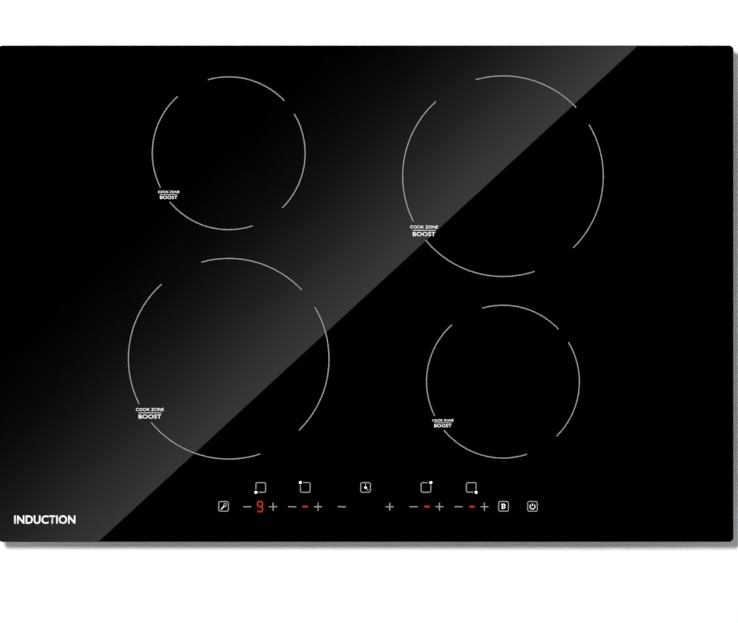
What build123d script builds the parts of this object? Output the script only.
from build123d import *
import os
from dataclasses import dataclass
from math import cos, radians, sin

os.makedirs("parts", exist_ok=True)

# Built-in induction cooktop, four zones. Millimetres. The origin is the middle of the seat plane,
# the underside of the gasket, which is the top of the worktop. +Z is up, -Y is the control side.

# glass
GLASS_W, GLASS_D, GLASS_T = 770, 520, 4
GLASS_CORNER = 5
GLASS_EDGE = 1
GASKET_T = 2
GLASS_BOTTOM = GASKET_T
GLASS_TOP = GLASS_BOTTOM + GLASS_T
PRINT_T = 0.05
PRINT_LINE = 0.8
ARC_SPANS = ((43.25, 105.75), (132, 206.75), (219.5, 288.25), (314.5, 391))

# seal and frame
GASKET_W, GASKET_D = 766, 516
GASKET_WIDTH = 7
GASKET_CORNER = 4
FRAME_W, FRAME_D = 738, 478
FRAME_CORNER = 7
RING_INNER_CORNER = 1
FRAME_SHEET = 1
FRAME_FLANGE = 8
FRAME_FLANGE_BOTTOM = 0.4
FRAME_FLANGE_TOP = FRAME_FLANGE_BOTTOM + FRAME_SHEET
FRAME_LEG_BOTTOM = -16
BEAD_WIDTH = 6
BEAD_INSET = 1

# tray
TRAY_W, TRAY_D = 740, 480
TRAY_SHEET = 0.8
TRAY_CORNER = 8
TRAY_EDGE = 3
TRAY_BOTTOM = -56
TRAY_TOP = 1
TRAY_FLOOR = TRAY_BOTTOM + TRAY_SHEET
POCKET_X = 346
POCKET_Y = 150
POCKET_LENGTH = 70
POCKET_CEILING = -22.8
POCKET_ROOF = POCKET_CEILING + TRAY_SHEET
STIFFENER_LENGTH, STIFFENER_WIDTH, STIFFENER_RISE = 300, 14, 1.5
STIFFENER_Y = (-200, 55)
STIFFENER_X = (-170, 170)
VENT_ROWS, VENT_PITCH, VENT_WIDTH = 7, 7, 4
VENT_RADIUS = 23
OUTLET_COUNT, OUTLET_PITCH = 9, 12
OUTLET_X = 208
OUTLET_LENGTH, OUTLET_WIDTH = 14, 5
OUTLET_Z = -46
OUTLET_FLOOR_Y = -222

# clamps
CLAMP_X = 358
CLAMP_Y = 172
CLAMP_SHANK_R = 2.45
CLAMP_THREAD_R = 2.5
CLAMP_ARM_HOLE_R = 2.53
CLAMP_BOSS_R, CLAMP_BOSS_T = 5.5, 5
CLAMP_SCREW_TOP = -4
CLAMP_HEAD_R, CLAMP_HEAD_BOTTOM, CLAMP_HEAD_TOP = 4.6, -55.6, -52.8
CLAMP_SOCKET_R, CLAMP_SOCKET_DEPTH = 2.2, 1.8
CLAMP_CLIP_R, CLAMP_CLIP_BOTTOM, CLAMP_CLIP_TOP = 4.5, -50.2, -49.4
ARM_SHEET, ARM_WIDTH = 2, 16
ARM_BOTTOM = -52.5
ARM_REACH = 43
ARM_PAD_REACH = 53
ARM_PAD_TOP = -24

# case screws
SCREW_SHANK_R, SCREW_PILOT_R, SCREW_CLEARANCE_R = 1.65, 1.7, 2.1
SCREW_HEAD_R, SCREW_HEAD_T, SCREW_HEAD_TAPER = 4, 2.2, 20
RECESS_LENGTH, RECESS_WIDTH, RECESS_DEPTH = 3.8, 0.9, 1.2
SCREW_LENGTH = 7
SCREW_Z = -9
SCREW_LONG_X = (-300, -100, 100, 300)
SCREW_SHORT_Y = (-60, 60)
COVER_SCREW_X, COVER_SCREW_Y = 41, 200
EARTH_X, EARTH_Y = 62, 190

# coil stack
MICA_TOP = 1.7
MICA_T = 0.6
MICA_BOTTOM = MICA_TOP - MICA_T
MICA_HOLE_R = 11
STRAND_R, STRAND_PITCH = 2.1, 3.9
STRAND_Z = -1.2
COIL_INNER_R = 28
FORMER_TOP = -3.3
FORMER_T = 1.6
FORMER_BOTTOM = FORMER_TOP - FORMER_T
FORMER_MARGIN = 3
FORMER_WALL = 2
FORMER_HUB_R = 26
SENSOR_SEAT_R = 8
SENSOR_SEAT_WALL = 2
FERRITE_T, FERRITE_WIDTH = 5, 12
FERRITE_INNER_R = 30
FERRITE_FIT = 0.1
RIB_T, RIB_DEPTH = 1, 4
EAR_R = 7
EAR_OFFSET = 9
EAR_HOLE_R = 2.08
NOTCH_WIDTH = 13
SENSOR_BOOT_R = 7.9
SENSOR_FLANGE_R, SENSOR_FLANGE_T = 9.5, 1.5
SENSOR_TIP_FILLET = 1

# posts and springs
PLATE_TOP, PLATE_T = -20.8, 1.2
PLATE_BOTTOM = PLATE_TOP - PLATE_T
POST_R = 2
POST_HEAD_R, POST_HEAD_T = 4.5, 1.6
POST_HEAD_GAP = 0.3
POST_STUD_R, POST_STUD_HOLE_R = 1.5, 1.6
POST_NUT_R, POST_NUT_T = 4, 3
SPRING_R, SPRING_WIRE_R, SPRING_TURNS = 4.2, 0.5, 3.5
SPRING_END_GAP = 0.05

# support plates and standoffs
PLATE_WIDTH, PLATE_DEPTH = 242, 387
PLATE_X, PLATE_Y = 141, 28.5
PLATE_CORNER = 6
PLATE_FLANGE = 6
PLATE_SENSOR_HOLE_R = 10
STANDOFF_R = 4
STANDOFF_STUD_R, STANDOFF_HOLE_R = 2, 2.1
STANDOFF_HEAD_R, STANDOFF_HEAD_T = 3.8, 2.2
STUD_HEAD_TAPER = 15
STANDOFF_X = (48, 255)
STANDOFF_Y = (-155, 30, 215)

# power electronics
BOARD_BOTTOM, BOARD_T = -48, 1.6
BOARD_TOP = BOARD_BOTTOM + BOARD_T
BOARD_WIDTH, BOARD_DEPTH = 180, 245
BOARD_X, BOARD_Y = 150, -37.5
BOARD_CORNER = 3
BOARD_HOLE_INSET = 6
SPACER_R, SPACER_STUD_R, SPACER_HOLE_R = 3.5, 1.5, 1.6
SPACER_HEAD_R, SPACER_HEAD_T = 3, 2
SINK_WIDTH, SINK_LENGTH = 40, 225
SINK_X, SINK_Y = 208, -36
SINK_BASE, SINK_TOP = 3, -26
SINK_FINS, SINK_FIN_T = 9, 1.4
SINK_WALL = 3
TRANSISTOR_X = 185.3
TRANSISTOR_Y = (-130, -80, -20, 30)
TRANSISTOR_T, TRANSISTOR_WIDTH, TRANSISTOR_HEIGHT = 5, 16, 18
TRANSISTOR_BOTTOM = -43
LEG_PITCH, LEG_SIZE = 5, 1
CAPACITOR_X, CAPACITOR_Y = 110, (-130, -100, -10)
CAPACITOR_WIDTH, CAPACITOR_DEPTH, CAPACITOR_HEIGHT = 30, 16, 21
CAPACITOR_CORNER = 1.4
CHOKE_X, CHOKE_Y = 115, 35
CHOKE_R, CHOKE_SECTION_R, CHOKE_WIRE_R = 13, 5.5, 0.9
CHOKE_TURNS = 18
CHOKE_FOOT_T = 2.8

# blowers
FAN_X, FAN_Y = 190, 150
SCROLL_R, SCROLL_WALL = 38, 1.5
SCROLL_BOTTOM, SCROLL_TOP = -54.5, -27.5
SCROLL_INLET_R = 22
DUCT_WIDTH, DUCT_END_Y = 40, 95
MOTOR_R, MOTOR_BOTTOM = 9, -38.5
MOTOR_BORE_R, MOTOR_BORE_TOP = 1.55, -31
SHAFT_R, SHAFT_TOP = 1.5, -31.5
CUP_R, CUP_WALL, CUP_BOTTOM, CUP_FLOOR_T = 12, 1.5, -41, 1.2
WHEEL_R, WHEEL_PLATE_TOP, WHEEL_PLATE_T = 30, -33, 1.2
BLADE_COUNT, BLADE_T, BLADE_INNER_R, BLADE_BOTTOM = 28, 0.8, 21, -51
BLADE_ANGLE, BLADE_SHARE = 35, 0.9
SHROUD_T = 1

# mains connection
BLOCK_WIDTH, BLOCK_DEPTH, BLOCK_HEIGHT = 60, 20, 19
BLOCK_Y = 196
BLOCK_POLES, BLOCK_PITCH = 5, 11.5
BLOCK_SCREW_R, BLOCK_SCREW_DEPTH = 3.2, 8
BLOCK_ENTRY_R, BLOCK_ENTRY_DEPTH = 2, 6
COVER_WIDTH, COVER_DEPTH, COVER_TOP, COVER_WALL = 72, 43, -31, 1.2
COVER_Y = 199.75
COVER_TAB_WIDTH, COVER_TAB_DEPTH = 10, 14
COVER_WINDOW_WIDTH, COVER_WINDOW_HEIGHT = 56, 15
GLAND_Z = -44
GLAND_BORE_R = 6
GLAND_BLOCK_WIDTH, GLAND_BLOCK_HEIGHT, GLAND_BLOCK_DEPTH = 24, 17, 14
GLAND_NECK_WIDTH, GLAND_NECK_HEIGHT = 18, 14
GLAND_NECK_FIT = 0.1
GLAND_FLANGE_WIDTH, GLAND_FLANGE_HEIGHT, GLAND_FLANGE_T = 28, 18, 3
GLAND_FLANGE_CORNER = 4

# controls
PANEL_Y, PANEL_WIDTH, PANEL_DEPTH = -207, 392, 47
PANEL_BOTTOM, PANEL_TOP, PANEL_WALL = -13, 1.6, 1.2
PANEL_CORNER = 3
PCB_WIDTH, PCB_DEPTH, PCB_BOTTOM, PCB_T = 386, 44, -8, 1.6
PCB_TOP = PCB_BOTTOM + PCB_T
PCB_CORNER = 1
PANEL_PIN_R, PANEL_PIN_X, PANEL_PIN_Y = 2.2, 185, 14
CABLE_NOTCH_X, CABLE_NOTCH_WIDTH, CABLE_NOTCH_HEIGHT = 30, 14, 6
ZONE_KEYS_Y = -202.7
ZONE_KEYS_X = (-110.2, -63.1, -0.3, 63.5, 110.6)
LEVEL_KEYS_Y = -222.9
LEVEL_KEYS_X = (-148.9, -124.3, -97.1, -77.2, -50, -24.9, 25.3, 50.4, 76.6, 97.5, 123.7, 144.1, 174.4)
DISPLAY_X = (-110.7, -63.6, 0.2, 64, 111.1)
DISPLAY_WIDTH, DISPLAY_DEPTH, DISPLAY_TOP = 9, 12.6, 1.8
PAD_R, PAD_BORE_R = 4, 2

# wiring
SUPPLY_WIRE_R, SIGNAL_WIRE_R, LEAD_R, BUNDLE_R = 1.4, 0.9, 1.6, 1.2
WIRE_BEND = 4
PLUG_WIDTH, PLUG_DEPTH, PLUG_HEIGHT = 6, 8, 7
PLUG_TOP = BOARD_TOP + PLUG_HEIGHT
WIRE_Z = BOARD_TOP + PLUG_HEIGHT / 2
LEAD_Z = -32
LEAD_PLUG_X = 72
LEAD_NEAR_X, LEAD_FAR_X = 8, 16
LEAD_SPREAD = 4
LEAD_START_GAP = 1
REAR_LEAD_Y = (66, 58)
SUPPLY_X, SUPPLY_TURN_Y, SUPPLY_PLUG_X = (18, 10), (132, 122), (86, 76)
SUPPLY_END_Y = 78
SENSOR_PLUG_Y = 75
FAN_LEAD_X, FAN_LEAD_Y, FAN_LEAD_Z = 130, 140, -50.5
BUNDLE_Z, BUNDLE_DROP_Y, BUNDLE_BACK_Y, BUNDLE_PLUG_X = -10, -174, -140, 72
BUNDLE_START_Y = -192
BUNDLE_PLUG_WIDTH, BUNDLE_PLUG_DEPTH = 10, 6
LUG_R, LUG_T = 4, 1


@dataclass(frozen=True)
class Zone:
    name: str
    x: float
    y: float
    ring_r: float
    strands: int
    ferrites: int
    ferrite_start: float
    ear_angles: tuple

    @property
    def coil_r(self):
        return COIL_INNER_R + self.strands * STRAND_PITCH

    @property
    def former_r(self):
        return self.coil_r + FORMER_MARGIN

    @property
    def side(self):
        """+1 on the right half, -1 on the left half."""
        return 1 if self.x > 0 else -1

    def polar(self, radius, angle):
        """The plan position at a radius and an angle from the middle of the zone."""
        return self.x + radius * cos(radians(angle)), self.y + radius * sin(radians(angle))

    def posts(self):
        return [self.polar(self.coil_r + EAR_OFFSET, angle) for angle in self.ear_angles]


ZONES = (
    Zone("front_left", -143.5, -68, 105, 18, 8, 22.5, (-20, 90, 200)),
    Zone("front_right", 143.5, -92, 80, 12, 6, 30, (-20, 90, 200)),
    Zone("rear_left", -143.5, 147, 80, 12, 6, 30, (20, 160, 270)),
    Zone("rear_right", 143.5, 123, 105, 18, 8, 22.5, (20, 160, 270)),
)
SIDES = (("left", -1), ("right", 1))
CLAMPS = tuple(
    (f"{end}_{side}", sign_x, sign_y)
    for end, sign_y in (("front", -1), ("rear", 1))
    for side, sign_x in SIDES
)


def save(piece, name):
    """Name a finished piece and write its STEP file."""
    piece.part.label = name
    export_step(piece.part, f"parts/{name}.step")


def rounded_block(width, depth, corner, edge, bottom, top):
    """A block with rounded upright corners and a rounded bottom edge."""
    with BuildPart() as block:
        with BuildSketch(Plane.XY.offset(bottom)):
            RectangleRounded(width, depth, corner)
        extrude(amount=top - bottom)
        fillet(block.faces().sort_by(Axis.Z)[0].edges(), radius=edge)
    return block.part


def ring_sketch(width, depth, corner, band):
    """A closed rectangular band, drawn on the workplane in use."""
    RectangleRounded(width, depth, corner)
    inner_corner = max(corner - band, RING_INNER_CORNER)
    RectangleRounded(width - 2 * band, depth - 2 * band, inner_corner, mode=Mode.SUBTRACT)


# ---- glass, print, seal and frame ----

with BuildPart() as glass_top:
    with BuildSketch(Plane.XY.offset(GLASS_BOTTOM)):
        RectangleRounded(GLASS_W, GLASS_D, GLASS_CORNER)
    extrude(amount=GLASS_T)
    fillet(glass_top.faces().sort_by(Axis.Z)[-1].edges(), radius=GLASS_EDGE)
save(glass_top, "glass_top")

with BuildPart() as zone_rings:
    with BuildSketch(Plane.XY.offset(GLASS_TOP)):
        for zone in ZONES:
            for start, end in ARC_SPANS:
                with BuildLine() as mark:
                    inner = CenterArc((zone.x, zone.y), zone.ring_r - PRINT_LINE / 2, start, end - start)
                    outer = CenterArc((zone.x, zone.y), zone.ring_r + PRINT_LINE / 2, start, end - start)
                    Line(inner @ 0, outer @ 0)
                    Line(inner @ 1, outer @ 1)
                make_face()
    extrude(amount=PRINT_T)
save(zone_rings, "zone_rings")

with BuildPart() as worktop_gasket:
    with BuildSketch():
        ring_sketch(GASKET_W, GASKET_D, GASKET_CORNER, GASKET_WIDTH)
    extrude(amount=GASKET_T)
save(worktop_gasket, "worktop_gasket")

with BuildPart() as frame_adhesive:
    with BuildSketch(Plane.XY.offset(FRAME_FLANGE_TOP)):
        ring_sketch(FRAME_W - 2 * BEAD_INSET, FRAME_D - 2 * BEAD_INSET, FRAME_CORNER, BEAD_WIDTH)
    extrude(amount=GLASS_BOTTOM - FRAME_FLANGE_TOP)
save(frame_adhesive, "frame_adhesive")


def wall_screw_planes():
    """One plane for each wall screw, on the outside of the tray wall, pointing into the tray."""
    long_side = [
        Plane((x, sign * TRAY_D / 2, SCREW_Z), x_dir=(1, 0, 0), z_dir=(0, -sign, 0))
        for x in SCREW_LONG_X
        for sign in (-1, 1)
    ]
    short_side = [
        Plane((sign * TRAY_W / 2, y, SCREW_Z), x_dir=(0, 1, 0), z_dir=(-sign, 0, 0))
        for y in SCREW_SHORT_Y
        for sign in (-1, 1)
    ]
    return long_side + short_side


with BuildPart() as glass_frame:
    with BuildSketch(Plane.XY.offset(FRAME_LEG_BOTTOM)):
        ring_sketch(FRAME_W, FRAME_D, FRAME_CORNER, FRAME_SHEET)
    extrude(amount=FRAME_FLANGE_TOP - FRAME_LEG_BOTTOM)
    with BuildSketch(Plane.XY.offset(FRAME_FLANGE_BOTTOM)):
        ring_sketch(FRAME_W, FRAME_D, FRAME_CORNER, FRAME_FLANGE)
    extrude(amount=FRAME_SHEET)
    for plane in wall_screw_planes():
        with BuildSketch(plane):
            Circle(SCREW_PILOT_R)
        extrude(amount=SCREW_LENGTH, mode=Mode.SUBTRACT)
save(glass_frame, "glass_frame")

# ---- tray ----

tray_outside = rounded_block(TRAY_W, TRAY_D, TRAY_CORNER, TRAY_EDGE, TRAY_BOTTOM, TRAY_TOP)
tray_inside = rounded_block(
    TRAY_W - 2 * TRAY_SHEET,
    TRAY_D - 2 * TRAY_SHEET,
    TRAY_CORNER - TRAY_SHEET,
    TRAY_EDGE - TRAY_SHEET,
    TRAY_FLOOR,
    TRAY_TOP,
)
POCKET_SITES = [(sign_x, sign_y) for name, sign_x, sign_y in CLAMPS]
STIFFENER_SITES = [(x, y) for x in STIFFENER_X for y in STIFFENER_Y]
REAR_WALL = Plane((0, TRAY_D / 2, GLAND_Z), x_dir=(1, 0, 0), z_dir=(0, -1, 0))
COVER_SCREWS = [(-COVER_SCREW_X, COVER_SCREW_Y), (COVER_SCREW_X, COVER_SCREW_Y)]

with BuildPart() as bottom_tray:
    add(tray_outside)
    add(tray_inside, mode=Mode.SUBTRACT)
    for sign_x, sign_y in POCKET_SITES:
        with BuildSketch(Plane.XY.offset(TRAY_BOTTOM)):
            with Locations((sign_x * (POCKET_X - TRAY_SHEET), sign_y * POCKET_Y)):
                Rectangle(
                    TRAY_W / 2 - TRAY_SHEET / 2 - POCKET_X + TRAY_SHEET,
                    POCKET_LENGTH + 2 * TRAY_SHEET,
                    align=(Align.MIN if sign_x > 0 else Align.MAX, Align.CENTER),
                )
        extrude(amount=POCKET_ROOF - TRAY_BOTTOM)
        with BuildSketch(Plane.XY.offset(TRAY_BOTTOM)):
            with Locations((sign_x * POCKET_X, sign_y * POCKET_Y)):
                Rectangle(
                    TRAY_W / 2 - POCKET_X,
                    POCKET_LENGTH,
                    align=(Align.MIN if sign_x > 0 else Align.MAX, Align.CENTER),
                )
        extrude(amount=POCKET_CEILING - TRAY_BOTTOM, mode=Mode.SUBTRACT)
        with BuildSketch(Plane.XY.offset(POCKET_ROOF)):
            with Locations((sign_x * CLAMP_X, sign_y * CLAMP_Y)):
                Circle(CLAMP_BOSS_R)
        extrude(amount=CLAMP_BOSS_T)
        with BuildSketch(Plane.XY.offset(POCKET_CEILING)):
            with Locations((sign_x * CLAMP_X, sign_y * CLAMP_Y)):
                Circle(CLAMP_THREAD_R)
        extrude(amount=TRAY_SHEET + CLAMP_BOSS_T, mode=Mode.SUBTRACT)
    # pressed stiffeners in the floor
    with BuildSketch(Plane.XY.offset(TRAY_FLOOR)):
        with Locations(*STIFFENER_SITES):
            SlotOverall(STIFFENER_LENGTH, STIFFENER_WIDTH)
    extrude(amount=STIFFENER_RISE)
    with BuildSketch(Plane.XY.offset(TRAY_BOTTOM)):
        with Locations(*STIFFENER_SITES):
            SlotOverall(STIFFENER_LENGTH - 2 * TRAY_SHEET, STIFFENER_WIDTH - 2 * TRAY_SHEET)
    extrude(amount=STIFFENER_RISE, mode=Mode.SUBTRACT)
    # blower inlets
    with BuildSketch(Plane.XY.offset(TRAY_BOTTOM)):
        for side, sign in SIDES:
            for row in range(VENT_ROWS):
                offset = (row - VENT_ROWS // 2) * VENT_PITCH
                length = 2 * (VENT_RADIUS**2 - offset**2) ** 0.5
                with Locations((sign * FAN_X, FAN_Y + offset)):
                    SlotOverall(length, VENT_WIDTH)
    extrude(amount=TRAY_SHEET, mode=Mode.SUBTRACT)
    # air outlets, in the front wall and in the floor behind it
    with BuildSketch(Plane((0, -TRAY_D / 2, OUTLET_Z), x_dir=(1, 0, 0), z_dir=(0, -1, 0))):
        with Locations((-OUTLET_X, 0), (OUTLET_X, 0)):
            with GridLocations(OUTLET_PITCH, 0, OUTLET_COUNT, 1):
                SlotOverall(OUTLET_LENGTH, OUTLET_WIDTH, rotation=90)
    extrude(amount=-TRAY_SHEET, mode=Mode.SUBTRACT)
    with BuildSketch(Plane.XY.offset(TRAY_BOTTOM)):
        with Locations((-OUTLET_X, OUTLET_FLOOR_Y), (OUTLET_X, OUTLET_FLOOR_Y)):
            with GridLocations(OUTLET_PITCH, 0, OUTLET_COUNT, 1):
                SlotOverall(OUTLET_LENGTH, OUTLET_WIDTH, rotation=90)
    extrude(amount=TRAY_SHEET, mode=Mode.SUBTRACT)
    # cable entry, a rectangle in the rear wall
    with BuildSketch(REAR_WALL):
        Rectangle(GLAND_NECK_WIDTH, GLAND_NECK_HEIGHT)
    extrude(amount=TRAY_SHEET, mode=Mode.SUBTRACT)
    for plane in wall_screw_planes():
        with BuildSketch(plane):
            Circle(SCREW_CLEARANCE_R)
        extrude(amount=TRAY_SHEET, mode=Mode.SUBTRACT)
    with BuildSketch(Plane.XY.offset(TRAY_BOTTOM)):
        with Locations(*COVER_SCREWS, (EARTH_X, EARTH_Y)):
            Circle(SCREW_PILOT_R)
    extrude(amount=TRAY_SHEET, mode=Mode.SUBTRACT)
save(bottom_tray, "bottom_tray")

def cross_recess():
    """A cross recess, drawn on the workplane in use."""
    Rectangle(RECESS_LENGTH, RECESS_WIDTH)
    Rectangle(RECESS_WIDTH, RECESS_LENGTH)


FLOOR_SCREW_SEATS = (
    (TRAY_FLOOR + COVER_WALL, COVER_SCREWS),
    (TRAY_FLOOR + LUG_T, [(EARTH_X, EARTH_Y)]),
)

with BuildPart() as case_screws:
    for plane in wall_screw_planes():
        with BuildSketch(plane):
            Circle(SCREW_SHANK_R)
        extrude(amount=SCREW_LENGTH)
        with BuildSketch(plane):
            Circle(SCREW_HEAD_R)
        extrude(amount=-SCREW_HEAD_T, taper=SCREW_HEAD_TAPER)
        with BuildSketch(plane.offset(-SCREW_HEAD_T)):
            cross_recess()
        extrude(amount=RECESS_DEPTH, mode=Mode.SUBTRACT)
    for seat, sites in FLOOR_SCREW_SEATS:
        with BuildSketch(Plane.XY.offset(seat)):
            with Locations(*sites):
                Circle(SCREW_SHANK_R)
        extrude(amount=TRAY_BOTTOM - seat)
        with BuildSketch(Plane.XY.offset(seat)):
            with Locations(*sites):
                Circle(SCREW_HEAD_R)
        extrude(amount=SCREW_HEAD_T, taper=SCREW_HEAD_TAPER)
        with BuildSketch(Plane.XY.offset(seat + SCREW_HEAD_T)):
            with Locations(*sites):
                cross_recess()
        extrude(amount=-RECESS_DEPTH, mode=Mode.SUBTRACT)
save(case_screws, "case_screws")

# ---- worktop clamps ----


def clamp_screw(name, sign_x, sign_y):
    """The lifting screw of one clamp: shank, head below the arm and retaining clip above it."""
    site = (sign_x * CLAMP_X, sign_y * CLAMP_Y)
    with BuildPart() as screw:
        with BuildSketch(Plane.XY.offset(CLAMP_HEAD_TOP)):
            with Locations(site):
                Circle(CLAMP_SHANK_R)
        extrude(amount=CLAMP_SCREW_TOP - CLAMP_HEAD_TOP)
        with BuildSketch(Plane.XY.offset(CLAMP_HEAD_BOTTOM)):
            with Locations(site):
                Circle(CLAMP_HEAD_R)
        extrude(amount=CLAMP_HEAD_TOP - CLAMP_HEAD_BOTTOM)
        with BuildSketch(Plane.XY.offset(CLAMP_CLIP_BOTTOM)):
            with Locations(site):
                Circle(CLAMP_CLIP_R)
        extrude(amount=CLAMP_CLIP_TOP - CLAMP_CLIP_BOTTOM)
        with BuildSketch(Plane.XY.offset(CLAMP_HEAD_BOTTOM)):
            with Locations(site):
                RegularPolygon(CLAMP_SOCKET_R, 6)
        extrude(amount=CLAMP_SOCKET_DEPTH, mode=Mode.SUBTRACT)
    save(screw, f"clamp_screw_{name}")


def clamp_arm(name, sign_x, sign_y):
    """A bent strip that swings out under the worktop: foot, upright and top pad."""
    x, y = sign_x * CLAMP_X, sign_y * CLAMP_Y
    heel = Align.MAX if sign_y > 0 else Align.MIN
    with BuildPart() as arm:
        with BuildSketch(Plane.XY.offset(ARM_BOTTOM)):
            with Locations((x, y)):
                Circle(ARM_WIDTH / 2)
                Rectangle(ARM_WIDTH, ARM_REACH + ARM_SHEET, align=(Align.CENTER, heel))
        extrude(amount=ARM_SHEET)
        with BuildSketch(Plane.XY.offset(ARM_BOTTOM)):
            with Locations((x, y - sign_y * ARM_REACH)):
                Rectangle(ARM_WIDTH, ARM_SHEET, align=(Align.CENTER, heel))
        extrude(amount=ARM_PAD_TOP - ARM_BOTTOM)
        with BuildSketch(Plane.XY.offset(ARM_PAD_TOP - ARM_SHEET)):
            with Locations((x, y - sign_y * ARM_REACH)):
                Rectangle(ARM_WIDTH, ARM_PAD_REACH - ARM_REACH, align=(Align.CENTER, heel))
        extrude(amount=ARM_SHEET)
        with BuildSketch(Plane.XY.offset(ARM_BOTTOM)):
            with Locations((x, y)):
                Circle(CLAMP_ARM_HOLE_R)
        extrude(amount=ARM_SHEET, mode=Mode.SUBTRACT)
    save(arm, f"clamp_arm_{name}")


for name, sign_x, sign_y in CLAMPS:
    clamp_screw(name, sign_x, sign_y)
    clamp_arm(name, sign_x, sign_y)

# ---- coil bodies ----


def coil_former(zone):
    """The plastic carrier of one coil: plate, walls, sensor seat, ferrite ribs and three ears."""
    ferrite_length = zone.coil_r - FERRITE_INNER_R
    rib_x = FERRITE_INNER_R + ferrite_length / 2
    rib_y = FERRITE_WIDTH / 2 + FERRITE_FIT + RIB_T / 2
    with BuildPart() as former:
        with BuildSketch(Plane.XY.offset(FORMER_BOTTOM)):
            with Locations((zone.x, zone.y)):
                Circle(zone.former_r)
            for angle in zone.ear_angles:
                with Locations(Location((zone.x, zone.y), angle)):
                    Rectangle(zone.coil_r + EAR_OFFSET, 2 * EAR_R, align=(Align.MIN, Align.CENTER))
            with Locations(*zone.posts()):
                Circle(EAR_R)
            with Locations((zone.x, zone.y)):
                Circle(SENSOR_SEAT_R, mode=Mode.SUBTRACT)
            with Locations(*zone.posts()):
                Circle(EAR_HOLE_R, mode=Mode.SUBTRACT)
        extrude(amount=FORMER_T)
        with BuildSketch(Plane.XY.offset(FORMER_TOP)):
            with Locations((zone.x, zone.y)):
                Circle(zone.former_r)
                Circle(zone.former_r - FORMER_WALL, mode=Mode.SUBTRACT)
                Circle(FORMER_HUB_R)
                Circle(FORMER_HUB_R - FORMER_WALL, mode=Mode.SUBTRACT)
                Circle(SENSOR_SEAT_R + SENSOR_SEAT_WALL)
                Circle(SENSOR_SEAT_R, mode=Mode.SUBTRACT)
            with Locations((zone.x - zone.side * zone.former_r, zone.y)):
                Rectangle(2 * NOTCH_WIDTH, NOTCH_WIDTH, mode=Mode.SUBTRACT)
        extrude(amount=MICA_BOTTOM - FORMER_TOP)
        with BuildSketch(Plane.XY.offset(FORMER_BOTTOM)):
            for index in range(zone.ferrites):
                angle = zone.ferrite_start + index * 360 / zone.ferrites
                with Locations(Location((zone.x, zone.y), angle)):
                    with Locations((rib_x, rib_y), (rib_x, -rib_y)):
                        Rectangle(ferrite_length, RIB_T)
        extrude(amount=-RIB_DEPTH)
    save(former, f"coil_former_{zone.name}")


def litz_winding(zone):
    """The flat winding of one coil, turn beside turn."""
    with BuildPart() as winding:
        with BuildSketch(Plane((zone.x, zone.y, 0), x_dir=(1, 0, 0), z_dir=(0, -1, 0))):
            for turn in range(zone.strands):
                with Locations((COIL_INNER_R + (turn + 0.5) * STRAND_PITCH, STRAND_Z)):
                    Circle(STRAND_R)
        revolve(axis=Axis((zone.x, zone.y, 0), (0, 0, 1)))
    save(winding, f"litz_winding_{zone.name}")


def ferrite_bars(zone):
    """The ferrite bars under one coil, pointing outward."""
    with BuildPart() as bars:
        with BuildSketch(Plane.XY.offset(FORMER_BOTTOM)):
            for index in range(zone.ferrites):
                angle = zone.ferrite_start + index * 360 / zone.ferrites
                with Locations(Location((zone.x, zone.y), angle)):
                    with Locations((FERRITE_INNER_R, 0)):
                        Rectangle(
                            zone.coil_r - FERRITE_INNER_R, FERRITE_WIDTH, align=(Align.MIN, Align.CENTER)
                        )
        extrude(amount=-FERRITE_T)
    save(bars, f"ferrite_bars_{zone.name}")


def mica_sheet(zone):
    """The insulating sheet on top of one coil."""
    with BuildPart() as sheet:
        with BuildSketch(Plane.XY.offset(MICA_BOTTOM)):
            with Locations((zone.x, zone.y)):
                Circle(zone.former_r)
                Circle(MICA_HOLE_R, mode=Mode.SUBTRACT)
        extrude(amount=MICA_T)
    save(sheet, f"mica_sheet_{zone.name}")


def temperature_sensor(zone):
    """The glass temperature sensor in its silicone boot."""
    with BuildPart() as sensor:
        with BuildSketch(Plane.XY.offset(FORMER_BOTTOM)):
            with Locations((zone.x, zone.y)):
                Circle(SENSOR_BOOT_R)
        extrude(amount=MICA_TOP - FORMER_BOTTOM)
        fillet(sensor.faces().sort_by(Axis.Z)[-1].edges(), radius=SENSOR_TIP_FILLET)
        with BuildSketch(Plane.XY.offset(FORMER_BOTTOM)):
            with Locations((zone.x, zone.y)):
                Circle(SENSOR_FLANGE_R)
        extrude(amount=-SENSOR_FLANGE_T)
    save(sensor, f"temperature_sensor_{zone.name}")


for zone in ZONES:
    coil_former(zone)
    litz_winding(zone)
    ferrite_bars(zone)
    mica_sheet(zone)
    temperature_sensor(zone)

# ---- coil posts, springs, support plates and standoffs ----

POST_SITES = [site for zone in ZONES for site in zone.posts()]
POST_HEAD_BOTTOM = FORMER_TOP + POST_HEAD_GAP
SPRING_BOTTOM = PLATE_TOP + SPRING_WIRE_R + SPRING_END_GAP
SPRING_LENGTH = FORMER_BOTTOM - PLATE_TOP - 2 * (SPRING_WIRE_R + SPRING_END_GAP)

with BuildPart() as coil_posts:
    with BuildSketch(Plane.XY.offset(PLATE_TOP)):
        with Locations(*POST_SITES):
            Circle(POST_R)
    extrude(amount=POST_HEAD_BOTTOM - PLATE_TOP)
    with BuildSketch(Plane.XY.offset(POST_HEAD_BOTTOM)):
        with Locations(*POST_SITES):
            Circle(POST_HEAD_R)
    extrude(amount=POST_HEAD_T)
    with BuildSketch(Plane.XY.offset(PLATE_TOP)):
        with Locations(*POST_SITES):
            Circle(POST_STUD_R)
    extrude(amount=-PLATE_T)
    with BuildSketch(Plane.XY.offset(PLATE_BOTTOM)):
        with Locations(*POST_SITES):
            RegularPolygon(POST_NUT_R, 6)
    extrude(amount=-POST_NUT_T)
save(coil_posts, "coil_posts")

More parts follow.
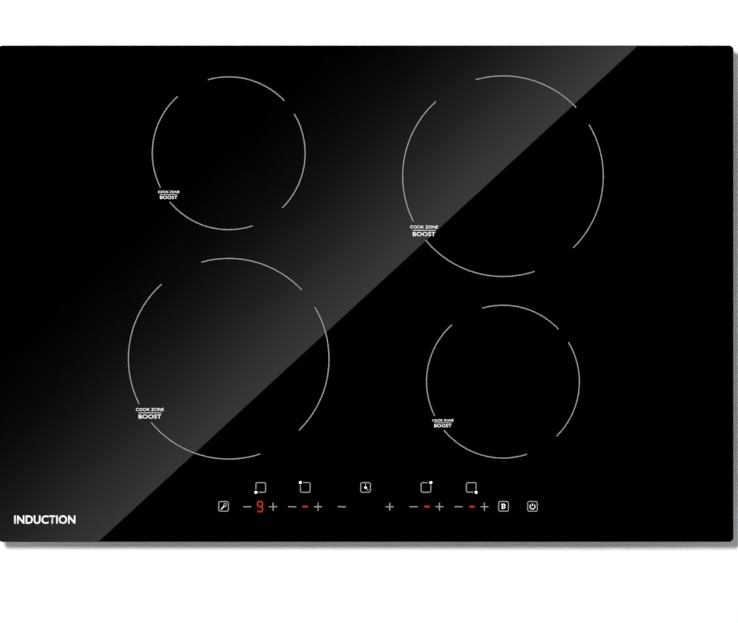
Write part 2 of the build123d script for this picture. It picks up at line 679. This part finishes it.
with BuildPart() as spring_coil:
    with BuildLine() as spring_path:
        Helix(pitch=SPRING_LENGTH / SPRING_TURNS, height=SPRING_LENGTH, radius=SPRING_R)
    with BuildSketch(Plane(origin=spring_path.line @ 0, z_dir=spring_path.line % 0)):
        Circle(SPRING_WIRE_R)
    sweep(path=spring_path.line, is_frenet=True)

with BuildPart() as coil_springs:
    with Locations(*[(x, y, SPRING_BOTTOM) for x, y in POST_SITES]):
        add(spring_coil.part)
save(coil_springs, "coil_springs")


def support_plate(side, sign):
    """The folded aluminium plate that carries the two coils of one side."""
    zones = [zone for zone in ZONES if zone.side == sign]
    with BuildPart() as plate:
        with BuildSketch(Plane.XY.offset(PLATE_BOTTOM)):
            with Locations((sign * PLATE_X, PLATE_Y)):
                RectangleRounded(PLATE_WIDTH, PLATE_DEPTH, PLATE_CORNER)
            with Locations(*[(zone.x, zone.y) for zone in zones]):
                Circle(PLATE_SENSOR_HOLE_R, mode=Mode.SUBTRACT)
            with Locations(*[site for zone in zones for site in zone.posts()]):
                Circle(POST_STUD_HOLE_R, mode=Mode.SUBTRACT)
            with Locations(*[(sign * x, y) for x in STANDOFF_X for y in STANDOFF_Y]):
                Circle(STANDOFF_HOLE_R, mode=Mode.SUBTRACT)
        extrude(amount=PLATE_T)
        with BuildSketch(Plane.XY.offset(PLATE_BOTTOM)):
            with Locations((sign * (PLATE_X + PLATE_WIDTH / 2 - PLATE_T / 2), PLATE_Y)):
                Rectangle(PLATE_T, PLATE_DEPTH - 2 * PLATE_CORNER)
        extrude(amount=-PLATE_FLANGE)
    save(plate, f"support_plate_{side}")


for side, sign in SIDES:
    support_plate(side, sign)

STANDOFF_SITES = [(sign * x, y) for side, sign in SIDES for x in STANDOFF_X for y in STANDOFF_Y]
SPACER_DX = BOARD_WIDTH / 2 - BOARD_HOLE_INSET
SPACER_DY = BOARD_DEPTH / 2 - BOARD_HOLE_INSET
SPACER_SITES = [
    (sign * BOARD_X + dx, BOARD_Y + dy)
    for side, sign in SIDES
    for dx in (-SPACER_DX, SPACER_DX)
    for dy in (-SPACER_DY, SPACER_DY)
]

with BuildPart() as standoffs:
    with BuildSketch(Plane.XY.offset(TRAY_FLOOR)):
        with Locations(*STANDOFF_SITES):
            Circle(STANDOFF_R)
    extrude(amount=PLATE_BOTTOM - TRAY_FLOOR)
    with BuildSketch(Plane.XY.offset(PLATE_BOTTOM)):
        with Locations(*STANDOFF_SITES):
            Circle(STANDOFF_STUD_R)
    extrude(amount=PLATE_T)
    with BuildSketch(Plane.XY.offset(PLATE_TOP)):
        with Locations(*STANDOFF_SITES):
            Circle(STANDOFF_HEAD_R)
    extrude(amount=STANDOFF_HEAD_T, taper=STUD_HEAD_TAPER)
    with BuildSketch(Plane.XY.offset(TRAY_FLOOR)):
        with Locations(*SPACER_SITES):
            Circle(SPACER_R)
    extrude(amount=BOARD_BOTTOM - TRAY_FLOOR)
    with BuildSketch(Plane.XY.offset(BOARD_BOTTOM)):
        with Locations(*SPACER_SITES):
            Circle(SPACER_STUD_R)
    extrude(amount=BOARD_T)
    with BuildSketch(Plane.XY.offset(BOARD_TOP)):
        with Locations(*SPACER_SITES):
            Circle(SPACER_HEAD_R)
    extrude(amount=SPACER_HEAD_T, taper=STUD_HEAD_TAPER)
save(standoffs, "standoffs")

# ---- power electronics ----


def power_board(side, sign):
    """The inverter circuit board of one side."""
    with BuildPart() as board:
        with BuildSketch(Plane.XY.offset(BOARD_BOTTOM)):
            with Locations((sign * BOARD_X, BOARD_Y)):
                RectangleRounded(BOARD_WIDTH, BOARD_DEPTH, BOARD_CORNER)
            with Locations(*[site for site in SPACER_SITES if site[0] * sign > 0]):
                Circle(SPACER_HOLE_R, mode=Mode.SUBTRACT)
        extrude(amount=BOARD_T)
    save(board, f"power_board_{side}")


def heatsink(side, sign):
    """The extruded heatsink of one side, its fins along the air flow."""
    fin_span = SINK_WIDTH - SINK_FIN_T
    with BuildPart() as sink:
        with BuildSketch(Plane.XY.offset(BOARD_TOP)):
            with Locations((sign * SINK_X, SINK_Y)):
                Rectangle(SINK_WIDTH, SINK_LENGTH)
        extrude(amount=SINK_BASE)
        with BuildSketch(Plane.XY.offset(BOARD_TOP)):
            with Locations((sign * SINK_X, SINK_Y)):
                with GridLocations(fin_span / (SINK_FINS - 1), 0, SINK_FINS, 1):
                    Rectangle(SINK_FIN_T, SINK_LENGTH)
            with Locations((sign * (SINK_X - SINK_WIDTH / 2 + SINK_WALL / 2), SINK_Y)):
                Rectangle(SINK_WALL, SINK_LENGTH)
        extrude(amount=SINK_TOP - BOARD_TOP)
    save(sink, f"heatsink_{side}")


for side, sign in SIDES:
    power_board(side, sign)
    heatsink(side, sign)

TRANSISTOR_SITES = [(sign * TRANSISTOR_X, y) for side, sign in SIDES for y in TRANSISTOR_Y]

with BuildPart() as power_transistors:
    with BuildSketch(Plane.XY.offset(TRANSISTOR_BOTTOM)):
        with Locations(*TRANSISTOR_SITES):
            Rectangle(TRANSISTOR_T, TRANSISTOR_WIDTH)
    extrude(amount=TRANSISTOR_HEIGHT)
    with BuildSketch(Plane.XY.offset(BOARD_TOP)):
        with Locations(*TRANSISTOR_SITES):
            with GridLocations(0, LEG_PITCH, 1, 3):
                Rectangle(LEG_SIZE, LEG_SIZE)
    extrude(amount=TRANSISTOR_BOTTOM - BOARD_TOP)
save(power_transistors, "power_transistors")

with BuildPart() as film_capacitors:
    with BuildSketch(Plane.XY.offset(BOARD_TOP)):
        with Locations(*[(sign * CAPACITOR_X, y) for side, sign in SIDES for y in CAPACITOR_Y]):
            RectangleRounded(CAPACITOR_WIDTH, CAPACITOR_DEPTH, CAPACITOR_CORNER)
    extrude(amount=CAPACITOR_HEIGHT)
save(film_capacitors, "film_capacitors")

with BuildPart() as line_chokes:
    for side, sign in SIDES:
        centre = (sign * CHOKE_X, CHOKE_Y, BOARD_TOP + CHOKE_SECTION_R + 2 * CHOKE_WIRE_R)
        with Locations(centre):
            Torus(CHOKE_R, CHOKE_SECTION_R)
            with PolarLocations(CHOKE_R, CHOKE_TURNS):
                Torus(CHOKE_SECTION_R + CHOKE_WIRE_R / 2, CHOKE_WIRE_R, rotation=(90, 0, 0))
        with BuildSketch(Plane.XY.offset(BOARD_TOP)):
            with Locations((sign * CHOKE_X, CHOKE_Y)):
                Rectangle(2 * CHOKE_R, CHOKE_R)
        extrude(amount=CHOKE_FOOT_T)
save(line_chokes, "line_chokes")

# ---- blowers ----


def scroll_outline(sign, wall):
    """The plan of the blower housing, shrunk by a wall thickness, on the workplane in use."""
    duct_x = sign * (FAN_X + SCROLL_R - DUCT_WIDTH / 2)
    with Locations((sign * FAN_X, FAN_Y)):
        Circle(SCROLL_R - wall)
    with Locations((duct_x, FAN_Y)):
        Rectangle(DUCT_WIDTH - 2 * wall, FAN_Y - DUCT_END_Y, align=(Align.CENTER, Align.MAX))


def blower_housing(side, sign):
    """The moulded scroll of one blower, open below over the tray vents and forward to the heatsink."""
    with BuildPart() as housing:
        with BuildSketch(Plane.XY.offset(SCROLL_BOTTOM)):
            scroll_outline(sign, 0)
        extrude(amount=SCROLL_TOP - SCROLL_BOTTOM)
        with BuildSketch(Plane.XY.offset(SCROLL_BOTTOM + SCROLL_WALL)):
            scroll_outline(sign, SCROLL_WALL)
        extrude(amount=SCROLL_TOP - SCROLL_BOTTOM - 2 * SCROLL_WALL, mode=Mode.SUBTRACT)
        with BuildSketch(Plane.XY.offset(SCROLL_BOTTOM)):
            with Locations((sign * FAN_X, FAN_Y)):
                Circle(SCROLL_INLET_R)
        extrude(amount=SCROLL_WALL, mode=Mode.SUBTRACT)
    save(housing, f"blower_housing_{side}")


def impeller(side, sign):
    """One blower wheel: magnet cup with its shaft, back plate, blades and shroud ring."""
    blade_radius = (BLADE_INNER_R + WHEEL_R) / 2
    blade_length = (WHEEL_R - BLADE_INNER_R) * BLADE_SHARE
    level = Plane((sign * FAN_X, FAN_Y, 0))
    with BuildPart() as wheel:
        with BuildSketch(level.offset(CUP_BOTTOM)):
            Circle(CUP_R)
        extrude(amount=WHEEL_PLATE_TOP - CUP_BOTTOM)
        with BuildSketch(level.offset(WHEEL_PLATE_TOP - WHEEL_PLATE_T)):
            Circle(WHEEL_R)
        extrude(amount=WHEEL_PLATE_T)
        with BuildSketch(level.offset(CUP_BOTTOM + CUP_FLOOR_T)):
            Circle(CUP_R - CUP_WALL)
        extrude(amount=WHEEL_PLATE_TOP - CUP_BOTTOM, mode=Mode.SUBTRACT)
        with BuildSketch(level.offset(CUP_BOTTOM)):
            Circle(SHAFT_R)
        extrude(amount=SHAFT_TOP - CUP_BOTTOM)
        with BuildSketch(level.offset(BLADE_BOTTOM)):
            with PolarLocations(blade_radius, BLADE_COUNT):
                Rectangle(blade_length, BLADE_T, rotation=BLADE_ANGLE)
        extrude(amount=WHEEL_PLATE_TOP - WHEEL_PLATE_T - BLADE_BOTTOM)
        with BuildSketch(level.offset(BLADE_BOTTOM - SHROUD_T)):
            Circle(WHEEL_R)
            Circle(BLADE_INNER_R, mode=Mode.SUBTRACT)
        extrude(amount=SHROUD_T)
    save(wheel, f"impeller_{side}")


for side, sign in SIDES:
    blower_housing(side, sign)
    impeller(side, sign)

with BuildPart() as fan_motors:
    with BuildSketch(Plane.XY.offset(MOTOR_BOTTOM)):
        with Locations((-FAN_X, FAN_Y), (FAN_X, FAN_Y)):
            Circle(MOTOR_R)
    extrude(amount=SCROLL_TOP - SCROLL_WALL - MOTOR_BOTTOM)
    with BuildSketch(Plane.XY.offset(MOTOR_BOTTOM)):
        with Locations((-FAN_X, FAN_Y), (FAN_X, FAN_Y)):
            Circle(MOTOR_BORE_R)
    extrude(amount=MOTOR_BORE_TOP - MOTOR_BOTTOM, mode=Mode.SUBTRACT)
save(fan_motors, "fan_motors")

# ---- mains connection ----

with BuildPart() as terminal_block:
    with BuildSketch(Plane.XY.offset(TRAY_FLOOR)):
        with Locations((0, BLOCK_Y)):
            Rectangle(BLOCK_WIDTH, BLOCK_DEPTH)
    extrude(amount=BLOCK_HEIGHT)
    with BuildSketch(Plane.XY.offset(TRAY_FLOOR + BLOCK_HEIGHT)):
        with Locations((0, BLOCK_Y)):
            with GridLocations(BLOCK_PITCH, 0, BLOCK_POLES, 1):
                Circle(BLOCK_SCREW_R)
    extrude(amount=-BLOCK_SCREW_DEPTH, mode=Mode.SUBTRACT)
    with BuildSketch(Plane((0, BLOCK_Y + BLOCK_DEPTH / 2, WIRE_Z), x_dir=(1, 0, 0), z_dir=(0, -1, 0))):
        with GridLocations(BLOCK_PITCH, 0, BLOCK_POLES, 1):
            Circle(BLOCK_ENTRY_R)
    extrude(amount=BLOCK_ENTRY_DEPTH, mode=Mode.SUBTRACT)
save(terminal_block, "terminal_block")

with BuildPart() as terminal_cover:
    with BuildSketch(Plane.XY.offset(TRAY_FLOOR)):
        with Locations((0, COVER_Y)):
            Rectangle(COVER_WIDTH, COVER_DEPTH)
    extrude(amount=COVER_TOP - TRAY_FLOOR)
    with BuildSketch(Plane.XY.offset(TRAY_FLOOR)):
        with Locations((0, COVER_Y)):
            Rectangle(COVER_WIDTH - 2 * COVER_WALL, COVER_DEPTH - 2 * COVER_WALL)
    extrude(amount=COVER_TOP - COVER_WALL - TRAY_FLOOR, mode=Mode.SUBTRACT)
    for sign in (-1, 1):
        with BuildSketch(Plane.XY.offset(TRAY_FLOOR)):
            with Locations((sign * (COVER_WIDTH + COVER_TAB_WIDTH) / 2, COVER_SCREW_Y)):
                Rectangle(COVER_TAB_WIDTH, COVER_TAB_DEPTH)
            with Locations((sign * COVER_SCREW_X, COVER_SCREW_Y)):
                Circle(SCREW_CLEARANCE_R, mode=Mode.SUBTRACT)
        extrude(amount=COVER_WALL)
    with BuildSketch(Plane((0, COVER_Y, WIRE_Z), x_dir=(1, 0, 0), z_dir=(0, -1, 0))):
        Rectangle(COVER_WINDOW_WIDTH, COVER_WINDOW_HEIGHT)
    extrude(amount=COVER_DEPTH, both=True, mode=Mode.SUBTRACT)
save(terminal_cover, "terminal_cover")

with BuildPart() as cable_gland:
    with BuildSketch(REAR_WALL):
        RectangleRounded(GLAND_FLANGE_WIDTH, GLAND_FLANGE_HEIGHT, GLAND_FLANGE_CORNER)
    extrude(amount=-GLAND_FLANGE_T)
    with BuildSketch(REAR_WALL):
        Rectangle(GLAND_NECK_WIDTH - 2 * GLAND_NECK_FIT, GLAND_NECK_HEIGHT - 2 * GLAND_NECK_FIT)
    extrude(amount=TRAY_SHEET)
    with BuildSketch(REAR_WALL.offset(TRAY_SHEET)):
        Rectangle(GLAND_BLOCK_WIDTH, GLAND_BLOCK_HEIGHT)
    extrude(amount=GLAND_BLOCK_DEPTH)
    with BuildSketch(REAR_WALL.offset(-GLAND_FLANGE_T)):
        Circle(GLAND_BORE_R)
    extrude(amount=GLAND_FLANGE_T + TRAY_SHEET + GLAND_BLOCK_DEPTH, mode=Mode.SUBTRACT)
save(cable_gland, "cable_gland")

# ---- controls ----

PANEL_PINS = [(dx, PANEL_Y + dy) for dx in (-PANEL_PIN_X, PANEL_PIN_X) for dy in (-PANEL_PIN_Y, PANEL_PIN_Y)]

with BuildPart() as control_housing:
    with BuildSketch(Plane.XY.offset(PANEL_BOTTOM)):
        with Locations((0, PANEL_Y)):
            RectangleRounded(PANEL_WIDTH, PANEL_DEPTH, PANEL_CORNER)
    extrude(amount=PANEL_TOP - PANEL_BOTTOM)
    with BuildSketch(Plane.XY.offset(PANEL_BOTTOM + PANEL_WALL)):
        with Locations((0, PANEL_Y)):
            RectangleRounded(PANEL_WIDTH - 2 * PANEL_WALL, PANEL_DEPTH - 2 * PANEL_WALL, PANEL_CORNER / 2)
    extrude(amount=PANEL_TOP - PANEL_BOTTOM, mode=Mode.SUBTRACT)
    with BuildSketch(Plane.XY.offset(PANEL_BOTTOM + PANEL_WALL)):
        with Locations(*PANEL_PINS):
            Circle(PANEL_PIN_R)
    extrude(amount=PCB_BOTTOM - PANEL_BOTTOM - PANEL_WALL)
    with BuildSketch(Plane.XY.offset(PANEL_BOTTOM + PANEL_WALL)):
        with Locations(
            (-CABLE_NOTCH_X, PANEL_Y + PANEL_DEPTH / 2),
            (CABLE_NOTCH_X, PANEL_Y + PANEL_DEPTH / 2),
        ):
            Rectangle(CABLE_NOTCH_WIDTH, 2 * PANEL_WALL, align=(Align.CENTER, Align.CENTER))
    extrude(amount=CABLE_NOTCH_HEIGHT, mode=Mode.SUBTRACT)
save(control_housing, "control_housing")

with BuildPart() as control_board:
    with BuildSketch(Plane.XY.offset(PCB_BOTTOM)):
        with Locations((0, PANEL_Y)):
            RectangleRounded(PCB_WIDTH, PCB_DEPTH, PCB_CORNER)
    extrude(amount=PCB_T)
save(control_board, "control_board")

with BuildPart() as led_displays:
    with BuildSketch(Plane.XY.offset(PCB_TOP)):
        with Locations(*[(x, LEVEL_KEYS_Y) for x in DISPLAY_X]):
            Rectangle(DISPLAY_WIDTH, DISPLAY_DEPTH)
    extrude(amount=DISPLAY_TOP - PCB_TOP)
save(led_displays, "led_displays")

KEY_SITES = [(x, ZONE_KEYS_Y) for x in ZONE_KEYS_X] + [(x, LEVEL_KEYS_Y) for x in LEVEL_KEYS_X]

with BuildPart() as touch_pads:
    with BuildSketch(Plane.XY.offset(PCB_TOP)):
        with Locations(*KEY_SITES):
            Circle(PAD_R)
            Circle(PAD_BORE_R, mode=Mode.SUBTRACT)
    extrude(amount=GLASS_BOTTOM - PCB_TOP)
save(touch_pads, "touch_pads")

# ---- wiring ----


@dataclass(frozen=True)
class Wire:
    radius: float
    points: tuple
    plug: tuple | None = None


def winding_leads(zone):
    """Both leads of one winding: over the notch, down the middle channel and out to the board."""
    side = zone.side
    start_x = zone.x - side * (zone.coil_r + LEAD_START_GAP)
    rear = zone.y > 0
    leads = []
    for index, drop_x in enumerate((LEAD_FAR_X, LEAD_NEAR_X)):
        y = zone.y + (LEAD_SPREAD if index == 0 else -LEAD_SPREAD)
        out_y = REAR_LEAD_Y[index] if rear else y
        turn = ((side * drop_x, out_y, LEAD_Z),) if rear else ()
        points = (
            (start_x, y, STRAND_Z),
            (side * drop_x, y, STRAND_Z),
            (side * drop_x, y, LEAD_Z),
            *turn,
            (side * LEAD_PLUG_X, out_y, LEAD_Z),
            (side * LEAD_PLUG_X, out_y, PLUG_TOP),
        )
        leads.append(Wire(LEAD_R, points, (side * LEAD_PLUG_X, out_y)))
    return leads


def sensor_lead(zone):
    """The lead of one temperature sensor, straight down or down and forward to the board."""
    start = (zone.x, zone.y, FORMER_BOTTOM - SENSOR_FLANGE_T)
    if zone.y < 0:
        return Wire(SIGNAL_WIRE_R, (start, (zone.x, zone.y, PLUG_TOP)), (zone.x, zone.y))
    end_y = SENSOR_PLUG_Y + PLUG_DEPTH / 2
    points = (start, (zone.x, zone.y, WIRE_Z), (zone.x, end_y, WIRE_Z))
    return Wire(SIGNAL_WIRE_R, points, (zone.x, SENSOR_PLUG_Y))


def side_wires(sign):
    """The supply pair, fan lead and control bundle of one side."""
    wires = []
    for start_x, turn_y, plug_x in zip(SUPPLY_X, SUPPLY_TURN_Y, SUPPLY_PLUG_X):
        points = (
            (sign * start_x, BLOCK_Y - BLOCK_DEPTH / 2, WIRE_Z),
            (sign * start_x, turn_y, WIRE_Z),
            (sign * plug_x, turn_y, WIRE_Z),
            (sign * plug_x, SUPPLY_END_Y, WIRE_Z),
        )
        wires.append(Wire(SUPPLY_WIRE_R, points, (sign * plug_x, SUPPLY_END_Y - PLUG_DEPTH / 2)))
    fan_edge = FAN_X - (SCROLL_R**2 - (FAN_LEAD_Y - FAN_Y) ** 2) ** 0.5
    fan_points = (
        (sign * (fan_edge - SIGNAL_WIRE_R), FAN_LEAD_Y, FAN_LEAD_Z),
        (sign * FAN_LEAD_X, FAN_LEAD_Y, FAN_LEAD_Z),
        (sign * FAN_LEAD_X, FAN_LEAD_Y, WIRE_Z),
        (sign * FAN_LEAD_X, SENSOR_PLUG_Y + PLUG_DEPTH / 2, WIRE_Z),
    )
    wires.append(Wire(SIGNAL_WIRE_R, fan_points, (sign * FAN_LEAD_X, SENSOR_PLUG_Y)))
    bundle_points = (
        (sign * CABLE_NOTCH_X, BUNDLE_START_Y, BUNDLE_Z),
        (sign * CABLE_NOTCH_X, BUNDLE_DROP_Y, BUNDLE_Z),
        (sign * CABLE_NOTCH_X, BUNDLE_DROP_Y, WIRE_Z),
        (sign * CABLE_NOTCH_X, BUNDLE_BACK_Y, WIRE_Z),
        (sign * (BUNDLE_PLUG_X - PLUG_WIDTH / 2), BUNDLE_BACK_Y, WIRE_Z),
    )
    wires.append(Wire(BUNDLE_R, bundle_points, (sign * BUNDLE_PLUG_X, BUNDLE_BACK_Y)))
    return wires


EARTH_WIRE = Wire(
    SUPPLY_WIRE_R,
    (
        (2 * BLOCK_PITCH, BLOCK_Y - BLOCK_DEPTH / 2, WIRE_Z),
        (2 * BLOCK_PITCH, BLOCK_Y - 2 * BLOCK_DEPTH, WIRE_Z),
        (EARTH_X, BLOCK_Y - 2 * BLOCK_DEPTH, WIRE_Z),
        (EARTH_X, BLOCK_Y - 2 * BLOCK_DEPTH, TRAY_FLOOR + SUPPLY_WIRE_R),
        (EARTH_X, EARTH_Y - LUG_R, TRAY_FLOOR + SUPPLY_WIRE_R),
    ),
)
WIRES = [EARTH_WIRE]
for zone in ZONES:
    WIRES += winding_leads(zone)
    WIRES.append(sensor_lead(zone))
for side, sign in SIDES:
    WIRES += side_wires(sign)


def wire_route(points):
    """A route with straight runs and rounded bends, on the line builder in use."""
    if len(points) == 2:
        Line(*points)
    else:
        FilletPolyline(*points, radius=WIRE_BEND)


with BuildPart() as wiring_harness:
    for wire in WIRES:
        with BuildLine() as route:
            wire_route(wire.points)
        with BuildSketch(Plane(origin=route.line @ 0, z_dir=route.line % 0)):
            Circle(wire.radius)
        sweep(path=route.line)
        if wire.plug:
            with BuildSketch(Plane.XY.offset(BOARD_TOP)):
                with Locations(wire.plug):
                    Rectangle(PLUG_WIDTH, PLUG_DEPTH)
            extrude(amount=PLUG_HEIGHT)
    with BuildSketch(Plane.XY.offset(PCB_BOTTOM)):
        with Locations((-CABLE_NOTCH_X, BUNDLE_START_Y), (CABLE_NOTCH_X, BUNDLE_START_Y)):
            Rectangle(BUNDLE_PLUG_WIDTH, BUNDLE_PLUG_DEPTH)
    extrude(amount=BUNDLE_Z - BUNDLE_R - PCB_BOTTOM)
    with BuildSketch(Plane.XY.offset(TRAY_FLOOR)):
        with Locations((EARTH_X, EARTH_Y)):
            Circle(LUG_R)
            Circle(SCREW_CLEARANCE_R, mode=Mode.SUBTRACT)
    extrude(amount=LUG_T)
save(wiring_harness, "wiring_harness")
